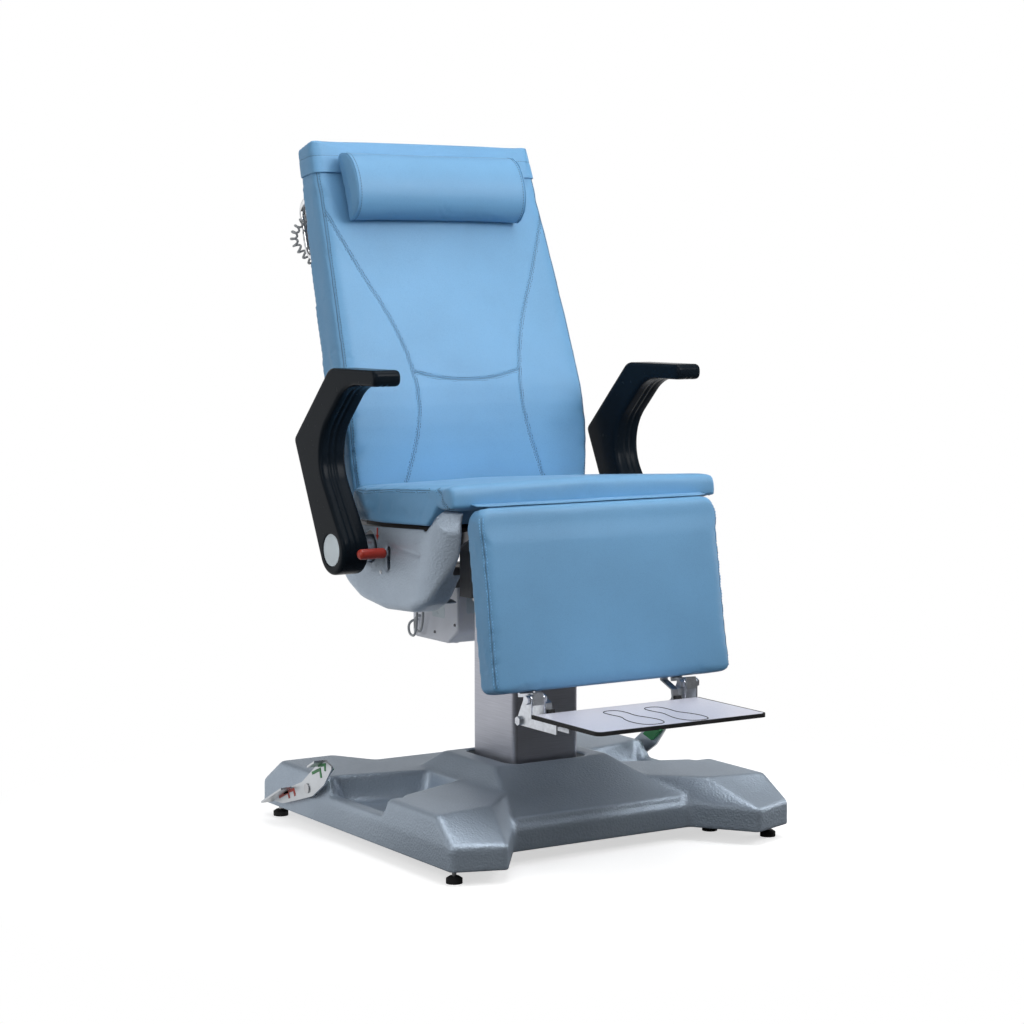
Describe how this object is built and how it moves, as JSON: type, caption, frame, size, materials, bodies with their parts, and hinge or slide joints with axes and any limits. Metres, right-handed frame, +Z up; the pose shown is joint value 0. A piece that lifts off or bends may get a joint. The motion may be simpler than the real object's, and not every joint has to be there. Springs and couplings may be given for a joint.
{
  "type": "ear nose and throat examination chair",
  "caption": "Examination chair on a lifting column: reclining back, raising legrest with folding footplate, swing-away arms, sliding headrest and foot pedals on a moulded base.",
  "frame": {"origin": "on the floor under the middle of the chair's outline, 15.8 mm in front of the column's axis", "axes": "+Z up, the chair faces -Y, +X to the right seen from the front"},
  "size_m": [0.828, 1.0181, 1.352],
  "materials": {
    "upholstery": "satin",
    "silver_paint": "satin",
    "frame_steel": "satin",
    "column_aluminium": "satin",
    "machined_steel": "satin",
    "zinc": "satin",
    "chrome": "polished",
    "black_plastic": "satin",
    "grey_panel": "matte",
    "disc_plastic": "satin",
    "glide_plastic": "satin",
    "black_rubber": "matte",
    "plate_laminate": "satin",
    "pedal_steel": "satin",
    "red_plastic": "satin",
    "green_plastic": "satin",
    "drive_plastic": "satin",
    "dark_screw": "satin",
    "plywood": "matte",
    "grey_cable": "satin"
  },
  "bodies": {
    "base": {"base_cover": "silver_paint", "base_frame": "frame_steel", "levelling_feet": "black_rubber", "levelling_stems": "machined_steel", "column_inner": "machined_steel", "column_glides": "glide_plastic", "lift_actuator": "machined_steel", "pedal_brackets": "frame_steel", "pedal_axles": "machined_steel"},
    "lift": {"column_sleeve": "column_aluminium", "lift_rod": "chrome", "lift_top_plate": "machined_steel", "swivel_ring": "machined_steel"},
    "seat": {"turntable": "machined_steel", "seat_beams": "frame_steel", "seat_side_plates": "frame_steel", "seat_board": "plywood", "seat_cushion": "upholstery", "seat_shell": "silver_paint", "drive_housing_left": "drive_plastic", "drive_housing_right": "drive_plastic", "drive_hanger": "frame_steel", "drive_cables": "grey_cable", "drive_screws": "dark_screw", "arm_axles": "machined_steel", "lever_bracket": "frame_steel", "hinge_pins": "machined_steel"},
    "lock_lever": {"lever_bar": "machined_steel", "lever_grip": "red_plastic"},
    "back": {"back_frame": "frame_steel", "back_board": "plywood", "back_cushion": "upholstery", "back_panel": "grey_panel", "push_handles": "chrome", "hand_control": "black_plastic", "control_cradle": "black_plastic", "cord_gland": "black_plastic", "curly_cord": "grey_cable"},
    "headrest": {"headrest_hood": "upholstery", "headrest_roll": "upholstery"},
    "legrest": {"legrest_cushion": "upholstery", "legrest_board": "plywood", "legrest_arms": "frame_steel", "footplate_lugs": "zinc", "footplate_stops": "zinc", "stop_buffers": "black_rubber"},
    "footplate": {"footplate": "plate_laminate", "footplate_edge": "black_rubber", "footplate_brackets": "zinc", "footplate_bolts": "zinc"},
    "arm_left": {"arm_left": "black_plastic", "arm_disc_left": "disc_plastic"},
    "arm_right": {"arm_right": "black_plastic", "arm_disc_right": "disc_plastic"},
    "pedal_left": {"pedal_left": "pedal_steel", "pedal_pad_up_left": "green_plastic", "pedal_pad_down_left": "red_plastic"},
    "pedal_right": {"pedal_right": "pedal_steel", "pedal_pad_up_right": "green_plastic", "pedal_pad_down_right": "red_plastic"}
  },
  "joints": [
    {"name": "lift", "type": "slide", "parent": "base", "child": "lift", "axis": [0, 0, 1], "range_m": [-0.08, 0.11]},
    {"name": "seat_swivel", "type": "hinge", "parent": "lift", "child": "seat", "pos_m": [0, 0.0158, 0.45], "axis": [0, 0, 1], "range_deg": [-170, 170]},
    {"name": "recline", "type": "hinge", "parent": "seat", "child": "back", "pos_m": [0, 0.2378, 0.59], "axis": [-1, 0, 0], "range_deg": [0, 68]},
    {"name": "headrest_height", "type": "slide", "parent": "back", "child": "headrest", "axis": [0, 0.309, 0.9511], "range_m": [0, 0.05]},
    {"name": "legrest_raise", "type": "hinge", "parent": "seat", "child": "legrest", "pos_m": [0, -0.2222, 0.636], "axis": [-1, 0, 0], "range_deg": [0, 80]},
    {"name": "footplate_fold", "type": "hinge", "parent": "legrest", "child": "footplate", "pos_m": [0, -0.2842, 0.312], "axis": [-1, 0, 0], "range_deg": [0, 90]},
    {"name": "arm_left_swing", "type": "hinge", "parent": "seat", "child": "arm_left", "pos_m": [-0.3435, 0.1208, 0.559], "axis": [-1, 0, 0], "range_deg": [0, 90]},
    {"name": "arm_right_swing", "type": "hinge", "parent": "seat", "child": "arm_right", "pos_m": [0.3435, 0.1208, 0.559], "axis": [-1, 0, 0], "range_deg": [0, 90]},
    {"name": "pedal_left_rock", "type": "hinge", "parent": "base", "child": "pedal_left", "pos_m": [-0.39, 0.1868, 0.091], "axis": [1, 0, 0], "range_deg": [-8, 8], "stiffness_Nm_per_rad": 6},
    {"name": "pedal_right_rock", "type": "hinge", "parent": "base", "child": "pedal_right", "pos_m": [0.39, 0.1868, 0.091], "axis": [1, 0, 0], "range_deg": [-8, 8], "stiffness_Nm_per_rad": 6},
    {"name": "lock_lever_press", "type": "hinge", "parent": "seat", "child": "lock_lever", "pos_m": [-0.224, 0.0478, 0.556], "axis": [0, -1, 0], "range_deg": [0, 12], "stiffness_Nm_per_rad": 3, "springref_deg": -2.86}
  ]
}
